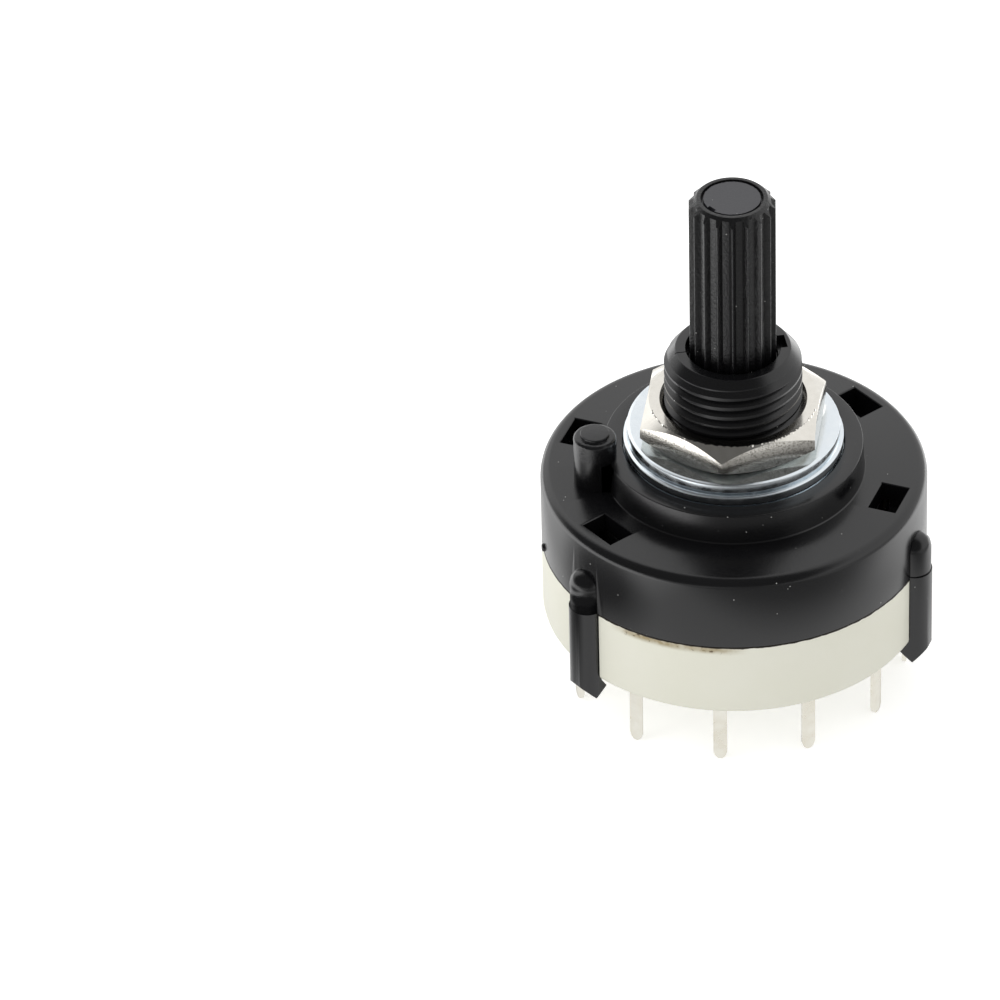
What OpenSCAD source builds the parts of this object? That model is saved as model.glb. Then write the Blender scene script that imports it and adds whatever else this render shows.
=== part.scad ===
// Rotary wafer switch for a panel, one pole and twelve positions, drawn in millimetres.
// The origin is on the shaft's axis at the collar's seat. +Z runs along the shaft and the peg is on -X.

/* [Body] */
// outer radius of the housing and of the terminal base
body_r = 13.3; // [12.5:0.1:15]
// height of the housing's skirt, from its face down to the seam
skirt_h = 5.6; // [5.2:0.1:7]
// thickness of the housing's top wall
top_wall = 1.35; // [1.2:0.05:1.8]
// thickness of the housing's side wall
side_wall = 1.1; // [0.9:0.05:1.4]
// rounding of the housing's top edge
edge_round = 0.65; // [0.3:0.05:0.9]
// height of the terminal base
base_h = 5.7; // [5.2:0.1:7]
// thickness of the terminal base's floor
base_floor = 2.9; // [2.5:0.1:3.2]
// rounding of the terminal base's lower edge
base_round = 0.5; // [0.2:0.05:0.8]
// radius of the gate's mark on the skirt
gate_r = 0.32; // [0.2:0.02:0.4]
// height of the gate's mark over the seam
gate_h = 0.35; // [0.35:0.05:1]
// how far the gate's mark stands out
gate_out = 0.3; // [0.1:0.05:0.5]

/* [Collar] */
// radius of the collar at its foot
collar_r = 9; // [8.8:0.1:9.4]
// how much the collar narrows towards its top
collar_draft = 0.13; // [0.02:0.01:0.2]
// height of the collar over the housing's face
collar_h = 2.17; // [2:0.05:2.6]
// fillet at the collar's foot
collar_fillet = 0.15; // [0.1:0.05:0.5]
// depth of the recess that holds the stop ring
recess_depth = 1.2; // [1.05:0.05:1.4]
// thickness of the recess floor
recess_floor = 1.2; // [1:0.05:1.3]

/* [Bush] */
// radius over the bush's thread
bush_r = 4.72; // [4.5:0.02:4.9]
// length of the bush over the collar's seat
bush_len = 7.85; // [6.5:0.05:10]
// pitch of the thread
thread_pitch = 0.79; // [0.7:0.01:0.9]
// depth of the thread
thread_depth = 0.36; // [0.2:0.02:0.45]
// how far the end chamfer cuts in towards the axis
bush_chamfer_w = 0.79; // [0.4:0.01:0.9]
// height of the end chamfer
bush_chamfer_h = 0.97; // [0.4:0.01:1.2]
// radius of the bore's widened mouth
mouth_r = 3.26; // [3.2:0.02:3.5]
// depth of the bore's widened mouth
mouth_depth = 0.7; // [0.3:0.05:1]
// width of the slot in one side of the mouth
mouth_slot_w = 1.44; // [0.8:0.02:2]
// how far the slot reaches from the axis
mouth_slot_r = 3.66; // [3.5:0.02:3.9]
// depth of the slot
mouth_slot_depth = 0.6; // [0.2:0.05:0.9]

/* [Peg] */
// radius of the locating peg
peg_r = 1.48; // [1.2:0.02:1.6]
// distance of the peg from the shaft's axis
peg_offset = 9.62; // [9.5:0.02:10.2]
// height of the peg over the collar's seat
peg_h = 1.66; // [1:0.02:2.5]
// rounding of the peg's top edge
peg_round = 0.25; // [0.1:0.05:0.4]
// fillet between the peg and the collar
peg_fillet = 0.7; // [0.4:0.05:1]
// drop of those fillets below the collar's seat
peg_web_drop = 0.03; // [0.02:0.01:0.4]
// radius of the raised disc on the peg's end
peg_pad_r = 1; // [0.6:0.02:1.1]
// height of the raised disc on the peg's end
peg_pad_h = 0.25; // [0.05:0.01:0.35]

/* [Windows] */
// length of a window around the axis
window_l = 2.95; // [2:0.05:3.4]
// width of a window away from the axis
window_w = 1.95; // [1:0.05:2.1]
// how far a window cuts down into the notched ring
window_cut = 0.5; // [0.2:0.05:0.8]

/* [Clips] */
// width of a clip's arm below the seam
clip_w = 2.5; // [2:0.05:3]
// how much wider the arm is than the rib above the seam
clip_step = 0.1; // [0.02:0.02:0.2]
// how far a clip stands out of the housing
clip_out = 1.05; // [0.9:0.05:1.4]
// depth of the rib's top end below the housing's face
clip_drop = 2.6; // [1.6:0.05:3]
// rounding of the rib's top end
clip_round = 1; // [0.5:0.05:1]
// rounding of a clip's outer edges
clip_edge = 1.15; // [0.2:0.05:1.15]
// height of the arm's top end over the seam
clip_lap = 0.1; // [0.05:0.05:0.3]
// depth of the groove in the terminal base behind an arm
clip_groove = 0.35; // [0.2:0.05:0.5]
// catch of a hook under the terminal base
hook_catch = 0.4; // [0.3:0.02:0.6]
// length of a hook below the terminal base
hook_h = 1.5; // [1.3:0.05:2]
// depth of the catch's edge below the terminal base
hook_edge = 0.75; // [0.5:0.05:1]
// length of the arm's straight outside below the terminal base
hook_lead = 0.5; // [0.3:0.05:0.8]
// thickness of a hook at its tip
hook_tip = 0.9; // [0.6:0.05:1.1]

/* [Shaft] */
// length of the shaft over the collar's seat
shaft_len = 20.2; // [14:0.1:40]
// radius over the spline and of the journal
shaft_r = 3; // [2.8:0.02:3.1]
// depth of the spline's valleys
spline_depth = 0.4; // [0.2:0.02:0.5]
// how far the spline's ridges stay inside the journal
spline_relief = 0.02; // [0.01:0.01:0.05]
// width of a spline ridge at its foot
ridge_w = 0.42; // [0.3:0.02:0.6]
// width of a spline ridge at its tip
ridge_tip = 0.1; // [0.06:0.02:0.2]
// chamfer at the shaft's end
shaft_chamfer = 0.6; // [0.3:0.05:0.8]
// outer radius of the groove in the shaft's end
end_groove_r = 2.12; // [1.8:0.02:2.2]
// width of the groove in the shaft's end
end_groove_w = 0.18; // [0.1:0.02:0.3]
// depth of the groove in the shaft's end
end_groove_depth = 0.4; // [0.2:0.05:0.6]
// depth of the disc inside that groove
end_recess = 0.05; // [0.02:0.01:0.15]
// radius of the rotor's lower pivot
pivot_r = 1.9; // [1.5:0.05:2.4]
// length of the pivot inside the terminal base
pivot_depth = 1.6; // [1.2:0.05:1.7]

/* [Detent] */
// thickness of the notched ring inside the housing
detent_wall = 1.3; // [1.1:0.05:1.5]
// depth of a detent notch
notch_depth = 0.4; // [0.3:0.02:0.6]
// how much rounder a notch is than a ball
notch_relief = 0.15; // [0.05:0.05:0.3]
// how far the notched ring reaches below the middle of the balls
detent_skirt = 0.8; // [0.6:0.05:1.2]
// radius of a detent ball
ball_r = 1.25; // [1.1:0.05:1.3]
// rotor wall over the spring's bore
bore_web = 0.7; // [0.5:0.05:0.9]
// wall of the rotor under the spring's bore
rotor_web = 1.2; // [0.8:0.05:1.5]
// radius of the spring's wire
wire_r = 0.18; // [0.12:0.01:0.22]
// mean radius of the spring
spring_r = 0.85; // [0.75:0.01:0.88]

/* [Contacts] */
// thickness of the contact strip
strip_t = 0.3; // [0.2:0.02:0.4]
// width of a solder pin
pin_w = 0.95; // [0.7:0.05:1.2]
// length of a solder pin below the terminal base
pin_len = 4.93; // [3:0.05:8]
// distance of the pins from the outside of the terminal base
pin_inset = 1.46; // [1.4:0.02:1.7]
// length of a pin's tapered tip
pin_tip_l = 0.55; // [0.3:0.05:1]
// width of a pin at its tip
pin_tip_w = 0.3; // [0.2:0.02:0.4]
// width of a contact pad
pad_w = 2; // [1.4:0.05:2.6]
// length of a contact pad
pad_l = 3; // [2.6:0.05:3.4]
// middle radius of the common ring
common_r = 4.3; // [4.1:0.05:4.6]
// width of the common ring
common_w = 2; // [1.6:0.05:2.2]
// width of the wiper
wiper_w = 2.4; // [2:0.05:3]
// length of the wiper's plate on the rotor
plate_l = 2; // [1.6:0.1:2.4]
// radius of the wiper's noses
nose_r = 0.35; // [0.25:0.01:0.4]
// distance of the outer nose from the pins
nose_inset = 2.14; // [1.9:0.02:2.3]
// radius of the studs that hold the wiper
stud_r = 0.3; // [0.2:0.02:0.35]
// radius of a stud's head
stud_head_r = 0.48; // [0.42:0.02:0.55]
// height of a stud's head
stud_head_h = 0.22; // [0.15:0.01:0.3]
// distance between the two studs
stud_pitch = 1.2; // [1.1:0.05:1.4]

/* [Hardware] */
// radius of the stop ring and of the lower washer
ring_r = 7.55; // [7.3:0.05:7.7]
// thickness of the stop ring
stop_t = 1; // [0.8:0.05:1.2]
// distance of the stop holes from the axis
stop_r = 6.58; // [6.4:0.02:6.7]
// length of a stop hole away from the axis
stop_hole_l = 1.25; // [1:0.05:1.4]
// width of a stop hole around the axis
stop_hole_w = 1.3; // [1.1:0.05:1.5]
// angle left between the rotor's lug and the stop tab at the ends of the travel
lug_margin = 1.5; // [0.5:0.1:3]
// radius of the upper washer
washer_r = 7.3; // [7:0.05:9]
// thickness of a washer
washer_t = 0.845; // [0.6:0.005:1.2]
// rounding of a washer's upper edge
washer_round = 0.2; // [0.05:0.05:0.3]
// nut across flats
nut_af = 12; // [11.5:0.1:14]
// thickness of the nut
nut_t = 2.1; // [1.6:0.05:2.6]
// radius of the countersink at the nut's faces
nut_sink_r = 5.05; // [4.95:0.05:5.4]
// how far inside the flats the nut's chamfers start
nut_edge = 0.22; // [0.1:0.02:0.4]

/* [Clearances] */
// running clearance of the shaft, the pivot and the balls
run_gap = 0.05; // [0.02:0.01:0.09]
// end clearance of the rotor
end_gap = 0.1; // [0.05:0.01:0.15]
// gap between the rotor's rim and the notched ring
rim_gap = 0.6; // [0.4:0.05:0.8]
// clearance of the clips in their grooves
clip_gap = 0.05; // [0.02:0.01:0.1]
// clearance of the pins in their slots
slot_gap = 0.03; // [0.01:0.01:0.06]
// clearance of the stop ring in its recess
recess_gap = 0.07; // [0.04:0.01:0.12]
// clearance of the stop tab in its hole
tab_gap = 0.1; // [0.05:0.01:0.15]
// clearance of the rotor's lug in its groove
groove_gap = 0.15; // [0.05:0.01:0.25]
// clearance of the rings around the bush
ring_gap = 0.13; // [0.08:0.01:0.2]
// clearance between the nut's thread and the bush's thread
thread_gap = 0.05; // [0.03:0.01:0.08]
// gap between the wiper's noses and the contacts
touch_gap = 0.04; // [0.02:0.01:0.08]
// gap between the spring's ends and the balls
spring_gap = 0.02; // [0.01:0.01:0.04]

/* [Hidden] */
$fn = 96;
positions = 12;
step = 360 / positions;
first_angle = 165;
stop_angle = 180;
ridges = 18;
clip_angles = [-150, -30, 90];
window_angles = [-150, -30, 30, 150];
ridge_turn = 80;
nut_turn = 13;
spring_turns = 9;
thread_form = [0, 0.2, 0.53, 0.67];
// how far fused forms reach into each other, and cuts run past what they cut
lap = 0.2;
past = 1;
eps = 0.01;
z_face = -collar_h;
z_seam = z_face - skirt_h;
z_bottom = z_seam - base_h;
z_floor = z_bottom + base_floor;
z_roof = z_face - top_wall;
z_recess = -recess_depth;
z_groove = z_recess - recess_floor;
cavity_r = body_r - side_wall;
crest_r = cavity_r - detent_wall;
recess_r = ring_r + recess_gap;
bore_r = ball_r + run_gap;
ball_x = crest_r - run_gap - ball_r;
rotor_r = crest_r - rim_gap;
z_rotor_top = z_roof - end_gap;
z_ball = z_rotor_top - bore_web - bore_r;
z_rotor_bot = z_ball - bore_r - rotor_web;
z_detent_end = z_ball - detent_skirt;
z_pivot = z_floor - pivot_depth;
pin_r = body_r - pin_inset;
z_pin = z_bottom - pin_len;
z_contact = z_floor + strip_t;
pad_in = pin_r + strip_t / 2 - pad_l;
clip_r = body_r + clip_out;
arm_in = body_r - clip_groove + clip_gap;
ring_in = bush_r + ring_gap;
z_lower = z_recess + stop_t;
z_upper = z_lower + washer_t;
z_nut = z_upper + washer_t;
z_nut_top = z_nut + nut_t;
tab_w = stop_hole_w - 2 * tab_gap;
tab_l = stop_hole_l - 2 * tab_gap;
tab_half = asin(tab_w / 2 / (stop_r - tab_l / 2));
lug_half = step / 2 - tab_half - lug_margin;
groove_in = stop_r - stop_hole_l / 2 - groove_gap;
groove_out = stop_r + stop_hole_l / 2 + groove_gap;
nose_out = pin_r - nose_inset;
wiper_mid = (nose_out + common_r) / 2;
z_spline = bush_len - mouth_depth - lap;

// a ring around the axis between two radii and two heights
module tube(r_in, r_out, z0, z1) {
    translate([0, 0, z0]) difference() {
        cylinder(r = r_out, h = z1 - z0);
        translate([0, 0, -past]) cylinder(r = r_in, h = z1 - z0 + 2 * past);
    }
}

// a solid rod around the axis between two heights
module rod(r, z0, z1) {
    translate([0, 0, z0]) cylinder(r = r, h = z1 - z0);
}

// a box that starts at a radius on the +X side and is centred across it
module bar(x0, x1, w, z0, z1) {
    translate([x0, -w / 2, z0]) cube([x1 - x0, w, z1 - z0]);
}

// half section of the threaded bush, widened by a gap
function thread_points(gap, z0, n) = concat(
    [[0, z0]],
    [for (i = [0:n - 1], k = [0:3])
        [bush_r + gap - (k < 2 ? 0 : thread_depth), z0 + thread_pitch * (i + thread_form[k])]],
    [[bush_r + gap, z0 + thread_pitch * n], [0, z0 + thread_pitch * n]]);

// the threaded rod, drawn as rings of the true pitch
module thread(gap) {
    turns = ceil((bush_len - z_recess + 2 * lap) / thread_pitch);
    rotate_extrude() polygon(thread_points(gap, z_recess - lap, turns));
}

module bush() {
    intersection() {
        thread(0);
        union() {
            rod(bush_r + past, z_recess - lap, bush_len - bush_chamfer_h);
            translate([0, 0, bush_len - bush_chamfer_h])
                cylinder(r1 = bush_r, r2 = bush_r - bush_chamfer_w, h = bush_chamfer_h);
        }
    }
}

// the housing's outer shell with its rounded top edge
module shell() {
    rotate_extrude() {
        translate([0, z_seam]) square([body_r, skirt_h - edge_round]);
        translate([0, z_seam]) square([body_r - edge_round, skirt_h]);
        translate([body_r - edge_round, z_face - edge_round]) circle(r = edge_round);
    }
}

module collar() {
    translate([0, 0, z_face]) cylinder(r1 = collar_r, r2 = collar_r - collar_draft, h = collar_h);
    rotate_extrude() difference() {
        translate([collar_r - lap, z_face - lap]) square([collar_fillet + lap, collar_fillet + lap]);
        translate([collar_r + collar_fillet, z_face + collar_fillet]) circle(r = collar_fillet);
    }
}

// the peg and the fillets that tie it to the collar
module peg() {
    wall = collar_r - collar_draft;
    reach = wall + peg_fillet;
    along = (pow(peg_offset, 2) + pow(reach, 2) - pow(peg_r + peg_fillet, 2)) / (2 * peg_offset);
    aside = sqrt(pow(reach, 2) - pow(along, 2));
    translate([-peg_offset, 0, 0]) rotate_extrude() {
        translate([0, z_face - lap]) square([peg_r, peg_h - peg_round - z_face + lap]);
        translate([0, z_face]) square([peg_r - peg_round, peg_h - z_face]);
        translate([peg_r - peg_round, peg_h - peg_round]) circle(r = peg_round);
        translate([0, z_face]) square([peg_pad_r, peg_h - z_face + peg_pad_h]);
    }
    translate([0, 0, z_face - lap]) linear_extrude(collar_h + lap - peg_web_drop) difference() {
        polygon([[-peg_offset, 0], [-along, aside], [0, 0], [-along, -aside]]);
        translate([-along, aside]) circle(r = peg_fillet);
        translate([-along, -aside]) circle(r = peg_fillet);
    }
}

// a clip seen from its side: rib, arm and barbed hook
module clip_side() {
    top = z_face - clip_drop;
    root = (cavity_r + body_r) / 2;
    polygon([[arm_in, z_seam + clip_lap / 2], [root, z_seam + clip_lap / 2], [root, top],
        [clip_r - clip_round, top], [clip_r, top - clip_round], [clip_r, z_bottom - hook_lead],
        [clip_r - hook_tip, z_bottom - hook_h], [arm_in - clip_gap - hook_catch, z_bottom - hook_edge],
        [arm_in, z_bottom - clip_gap]]);
    translate([clip_r - clip_round, top - clip_round]) circle(r = clip_round);
}

// a clip seen along the shaft, with its outer edges rounded
module clip_plan(w) {
    translate([cavity_r, -w / 2]) square([clip_r - clip_edge - cavity_r, w]);
    translate([cavity_r, -w / 2 + clip_edge]) square([clip_r - cavity_r, w - 2 * clip_edge]);
    for (y = [clip_edge - w / 2, w / 2 - clip_edge]) translate([clip_r - clip_edge, y]) circle(r = clip_edge);
}

module clip() {
    intersection() {
        translate([0, clip_w, 0]) rotate([90, 0, 0]) linear_extrude(2 * clip_w) clip_side();
        union() {
            translate([0, 0, z_seam]) linear_extrude(skirt_h) clip_plan(clip_w - clip_step);
            translate([0, 0, z_bottom - hook_h - past])
                linear_extrude(base_h + hook_h + past + clip_lap) clip_plan(clip_w);
        }
    }
}

module housing() {
    color([0.07, 0.07, 0.08]) difference() {
        union() {
            difference() {
                union() {
                    shell();
                    collar();
                    peg();
                }
                tube(bush_r - thread_depth - lap, recess_r, z_recess, past);
                rod(crest_r, z_detent_end - eps, z_roof);
                rod(cavity_r, z_seam - past, z_detent_end);
                tube(groove_in, groove_out, z_roof - eps, z_groove);
                for (i = [0:positions - 1]) rotate(first_angle + i * step) {
                    translate([crest_r + notch_depth - ball_r - notch_relief, 0, 0])
                        rod(ball_r + notch_relief, z_detent_end - past, z_roof);
                }
                for (i = [0:positions - 1]) rotate(stop_angle + i * step)
                    bar(stop_r - stop_hole_l / 2, stop_r + stop_hole_l / 2, stop_hole_w, z_groove - past, 0);
                for (a = window_angles) rotate(a)
                    bar(cavity_r - window_w, cavity_r, window_l, z_roof - window_cut, z_face + past);
            }
            bush();
            for (a = clip_angles) rotate(a) clip();
            translate([-body_r - gate_out, 0, z_seam + gate_h]) rotate([0, 90, 0])
                cylinder(r1 = gate_r / 2, r2 = gate_r, h = gate_out + lap);
        }
        rod(shaft_r + run_gap, z_roof - past, bush_len + past);
        translate([0, 0, bush_len - mouth_depth])
            cylinder(r1 = shaft_r + run_gap, r2 = mouth_r, h = mouth_depth + eps);
        bar(0, mouth_slot_r, mouth_slot_w, bush_len - mouth_slot_depth, bush_len + past);
    }
}

module terminal_base() {
    color([0.86, 0.85, 0.76]) difference() {
        rotate_extrude() {
            translate([0, z_bottom + base_round]) square([body_r, base_h - base_round]);
            translate([0, z_bottom]) square([body_r - base_round, base_h]);
            translate([body_r - base_round, z_bottom + base_round]) circle(r = base_round);
        }
        rod(cavity_r, z_floor, z_seam + past);
        rod(pivot_r + run_gap, z_pivot - end_gap, z_floor + past);
        for (a = clip_angles) rotate(a)
            bar(body_r - clip_groove, body_r + past, clip_w + 2 * clip_gap, z_bottom - past, z_seam + past);
        for (i = [0:positions - 1]) rotate(first_angle - i * step)
            bar(pin_r - strip_t / 2 - slot_gap, pin_r + strip_t / 2 + slot_gap, pin_w + 2 * slot_gap,
                z_bottom - past, z_floor + past);
        rotate(first_angle)
            bar(common_r - strip_t / 2 - slot_gap, common_r + strip_t / 2 + slot_gap, pin_w + 2 * slot_gap,
                z_bottom - past, z_floor + past);
    }
}

// cross section of the spline
function spline_points() = [for (i = [0:ridges - 1], k = [0:3])
    let (
        root = shaft_r - spline_depth,
        top = shaft_r - spline_relief,
        half = [asin(ridge_w / 2 / root), asin(ridge_tip / 2 / top)],
        turn = ridge_turn + i * 360 / ridges + [-half[0], -half[1], half[1], half[0]][k],
        r = (k == 1 || k == 2) ? top : root
    ) [r * cos(turn), r * sin(turn)]];

module spline() {
    intersection() {
        translate([0, 0, z_spline]) linear_extrude(shaft_len - z_spline) polygon(spline_points());
        rotate_extrude() polygon([[0, z_spline - past], [shaft_r + past, z_spline - past],
            [shaft_r + past, shaft_len - shaft_chamfer - past], [shaft_r - shaft_chamfer, shaft_len],
            [0, shaft_len]]);
    }
}

// the rotor's lug that meets the stop ring's tab
module lug() {
    rotate(first_angle - lug_half) rotate_extrude(angle = 2 * lug_half)
        translate([stop_r - stop_hole_l / 2, z_rotor_top - lap])
        square([stop_hole_l, z_groove - end_gap - z_rotor_top + lap]);
}

module shaft() {
    color([0.08, 0.08, 0.09]) difference() {
        union() {
            spline();
            rod(shaft_r, z_rotor_top - lap, z_spline);
            rod(rotor_r, z_rotor_bot, z_rotor_top);
            lug();
            rod(pivot_r, z_pivot, z_rotor_bot + lap);
            rotate(first_angle) for (y = [-stud_pitch / 2, stud_pitch / 2]) translate([wiper_mid, y, 0]) {
                rod(stud_r, z_rotor_bot - strip_t - stud_head_h / 2, z_rotor_bot + lap);
                rod(stud_head_r, z_rotor_bot - strip_t - stud_head_h, z_rotor_bot - strip_t);
            }
        }
        translate([0, 0, z_ball]) rotate([0, 90, first_angle - 90])
            cylinder(r = bore_r, h = 2 * (rotor_r + past), center = true);
        rod(end_groove_r, shaft_len - end_recess, shaft_len + past);
        tube(end_groove_r - end_groove_w, end_groove_r, shaft_len - end_groove_depth, shaft_len + past);
    }
}

// section of the spring's wire across the spring's axis
function coil_points(lead) = let (n = 3, reach = 360 * wire_r / lead) concat(
    [for (i = [-n:n]) let (t = sin(90 * i / n), r = spring_r + wire_r * sqrt(max(0, 1 - t * t)))
        [r * cos(reach * t), r * sin(reach * t)]],
    [for (i = [-n + 1:n - 1]) let (t = -sin(90 * i / n), r = spring_r - wire_r * sqrt(max(0, 1 - t * t)))
        [r * cos(reach * t), r * sin(reach * t)]]);

module detent_spring() {
    seat = ball_x - sqrt(pow(ball_r + wire_r, 2) - pow(spring_r, 2)) - spring_gap;
    color([0.62, 0.63, 0.65]) translate([0, 0, z_ball]) rotate([0, 90, first_angle - 90])
        translate([0, 0, -seat])
        linear_extrude(2 * seat, twist = -360 * spring_turns, slices = 12 * spring_turns, $fn = 4)
        polygon(coil_points(2 * seat / spring_turns));
}

module ball(side) {
    color([0.75, 0.76, 0.78]) rotate(first_angle - 90) translate([side * ball_x, 0, z_ball])
        sphere(r = ball_r);
}

module detent_ball_1() ball(1);
module detent_ball_2() ball(-1);

// the wiper seen from its side: a plate with two sprung arms
module wiper_side() {
    nose_z = z_contact + touch_gap + nose_r;
    half = plate_l / 2;
    rise = 0.3 * nose_r;
    reach = 0.7 * nose_r;
    polygon([[wiper_mid + half, z_rotor_bot], [wiper_mid - half, z_rotor_bot],
        [common_r - reach, nose_z + rise], [common_r + reach, nose_z - rise],
        [wiper_mid - half + lap, z_rotor_bot - strip_t], [wiper_mid + half - lap, z_rotor_bot - strip_t],
        [nose_out - reach, nose_z - rise], [nose_out + reach, nose_z + rise]]);
    translate([nose_out, nose_z]) circle(r = nose_r);
    translate([common_r, nose_z]) circle(r = nose_r);
}

module wiper() {
    color([0.8, 0.6, 0.25]) rotate(first_angle) difference() {
        translate([0, wiper_w / 2, 0]) rotate([90, 0, 0]) linear_extrude(wiper_w) wiper_side();
        for (y = [-stud_pitch / 2, stud_pitch / 2]) translate([wiper_mid, y, 0])
            rod(stud_r + slot_gap, z_rotor_bot - strip_t - past, z_rotor_bot + past);
    }
}

// a solder pin that hangs from the floor's top, with a tapered tip
module pin(r) {
    w = pin_w / 2;
    tip = pin_tip_w / 2;
    mid = 0.4 * tip + 0.6 * w;
    translate([r - strip_t / 2, 0, 0]) rotate([90, 0, 90]) linear_extrude(strip_t)
        polygon([[-w, z_contact], [-w, z_pin + pin_tip_l], [-mid, z_pin + pin_tip_l / 3], [-tip, z_pin],
            [tip, z_pin], [mid, z_pin + pin_tip_l / 3], [w, z_pin + pin_tip_l], [w, z_contact]]);
}

module common_contact() {
    color([0.8, 0.68, 0.4]) union() {
        tube(common_r - common_w / 2, common_r + common_w / 2, z_floor, z_contact);
        rotate(first_angle) pin(common_r);
    }
}

module terminal(number) {
    color([0.78, 0.78, 0.74]) rotate(first_angle - (number - 1) * step) union() {
        bar(pad_in, pin_r + strip_t / 2, pad_w, z_floor, z_contact);
        pin(pin_r);
    }
}

module terminal_01() terminal(1);
module terminal_02() terminal(2);
module terminal_03() terminal(3);
module terminal_04() terminal(4);
module terminal_05() terminal(5);
module terminal_06() terminal(6);
module terminal_07() terminal(7);
module terminal_08() terminal(8);
module terminal_09() terminal(9);
module terminal_10() terminal(10);
module terminal_11() terminal(11);
module terminal_12() terminal(12);

// a flat ring with its outer upper edge rounded
module flat_ring(r_out, z0, t) {
    rotate_extrude() {
        translate([ring_in, z0]) square([r_out - ring_in, t - washer_round]);
        translate([ring_in, z0]) square([r_out - ring_in - washer_round, t]);
        translate([r_out - washer_round, z0 + t - washer_round]) circle(r = washer_round);
    }
}

module stop_ring() {
    color([0.72, 0.75, 0.78]) union() {
        tube(ring_in, ring_r, z_recess, z_lower);
        rotate(stop_angle) bar(stop_r - tab_l / 2, stop_r + tab_l / 2, tab_w, z_roof + tab_gap, z_recess + lap);
    }
}

module washer_lower() {
    color([0.75, 0.78, 0.82]) flat_ring(ring_r, z_lower, washer_t);
}

module washer_upper() {
    color([0.75, 0.78, 0.82]) flat_ring(washer_r, z_upper, washer_t);
}

module nut() {
    corner = nut_af / 2 / cos(30);
    face_r = nut_af / 2 - nut_edge;
    drop = (corner + lap - face_r) * tan(30);
    sink_r = bush_r - thread_depth;
    sink_h = nut_sink_r - sink_r;
    color([0.8, 0.79, 0.75]) difference() {
        intersection() {
            translate([0, 0, z_nut]) rotate(nut_turn) cylinder(r = corner, h = nut_t, $fn = 6);
            rotate_extrude() polygon([[0, z_nut], [face_r, z_nut], [corner + lap, z_nut + drop],
                [corner + lap, z_nut_top - drop], [face_r, z_nut_top], [0, z_nut_top]]);
        }
        thread(thread_gap);
        translate([0, 0, z_nut_top - sink_h]) cylinder(r1 = sink_r, r2 = nut_sink_r, h = sink_h);
        translate([0, 0, z_nut]) cylinder(r1 = nut_sink_r, r2 = sink_r, h = sink_h);
    }
}

housing();
terminal_base();
shaft();
detent_spring();
detent_ball_1();
detent_ball_2();
wiper();
common_contact();
terminal_01();
terminal_02();
terminal_03();
terminal_04();
terminal_05();
terminal_06();
terminal_07();
terminal_08();
terminal_09();
terminal_10();
terminal_11();
terminal_12();
stop_ring();
washer_lower();
washer_upper();
nut();
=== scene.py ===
# %% [markdown]
# # A rotary wafer switch
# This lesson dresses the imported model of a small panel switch: a black moulded housing
# clipped to a cream base, a threaded bush with two washers and a nut, a splined shaft and
# a ring of solder pins. The pieces that show are modelled again with soft edges and a true
# thread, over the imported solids, which keep the sizes and the motion.

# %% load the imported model
import math

import bmesh
import bpy
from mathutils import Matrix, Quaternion, Vector


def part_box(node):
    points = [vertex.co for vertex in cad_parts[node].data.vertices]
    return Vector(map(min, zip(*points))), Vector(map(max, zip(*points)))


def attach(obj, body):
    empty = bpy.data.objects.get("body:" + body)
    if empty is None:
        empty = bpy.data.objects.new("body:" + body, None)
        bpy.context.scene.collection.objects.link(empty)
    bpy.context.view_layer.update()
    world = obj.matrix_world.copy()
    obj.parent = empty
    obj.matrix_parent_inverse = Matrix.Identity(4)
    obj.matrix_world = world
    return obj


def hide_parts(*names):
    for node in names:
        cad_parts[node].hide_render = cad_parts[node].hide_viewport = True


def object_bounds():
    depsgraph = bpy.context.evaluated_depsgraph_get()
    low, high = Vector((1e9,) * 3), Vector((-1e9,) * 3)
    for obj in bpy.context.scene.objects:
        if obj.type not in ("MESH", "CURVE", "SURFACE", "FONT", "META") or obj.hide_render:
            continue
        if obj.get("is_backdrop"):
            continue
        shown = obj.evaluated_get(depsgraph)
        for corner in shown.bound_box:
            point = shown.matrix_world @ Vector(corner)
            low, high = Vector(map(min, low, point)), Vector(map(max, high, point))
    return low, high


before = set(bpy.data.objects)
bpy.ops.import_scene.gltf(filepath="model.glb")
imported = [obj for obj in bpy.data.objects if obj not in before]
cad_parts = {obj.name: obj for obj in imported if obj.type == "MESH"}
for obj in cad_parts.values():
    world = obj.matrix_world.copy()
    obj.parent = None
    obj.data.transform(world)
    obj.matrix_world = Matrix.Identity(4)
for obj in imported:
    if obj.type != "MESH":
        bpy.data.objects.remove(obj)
cad_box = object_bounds()
MM = 0.001

# %% [markdown]
# ## Sizes
# A maker measures the parts first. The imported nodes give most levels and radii, and the rest
# are the few sizes of the mouldings that a box can't tell. Everything is in millimetres here
# and becomes metres only when a mesh is drawn.

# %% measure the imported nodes
def span(node):
    """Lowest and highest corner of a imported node, in millimetres."""
    low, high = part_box(node)
    return low / MM, high / MM


base_low, base_high = span("terminal_base")
nut_low, nut_high = span("nut")
lower_low, lower_high = span("washer_lower")
upper_low, upper_high = span("washer_upper")
pin_low, pin_high = span("terminal_01")

BODY_R = base_high.x
Z_SEAM = base_high.z
Z_BOTTOM = base_low.z
BUSH_TOP = span("housing")[1].z
SHAFT_TOP = span("shaft")[1].z
Z_FLOOR = pin_high.z - 0.3
print("body radius %.2f, seam %.2f, bottom %.2f, bush %.2f, shaft %.2f mm"
      % (BODY_R, Z_SEAM, Z_BOTTOM, BUSH_TOP, SHAFT_TOP))

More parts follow.
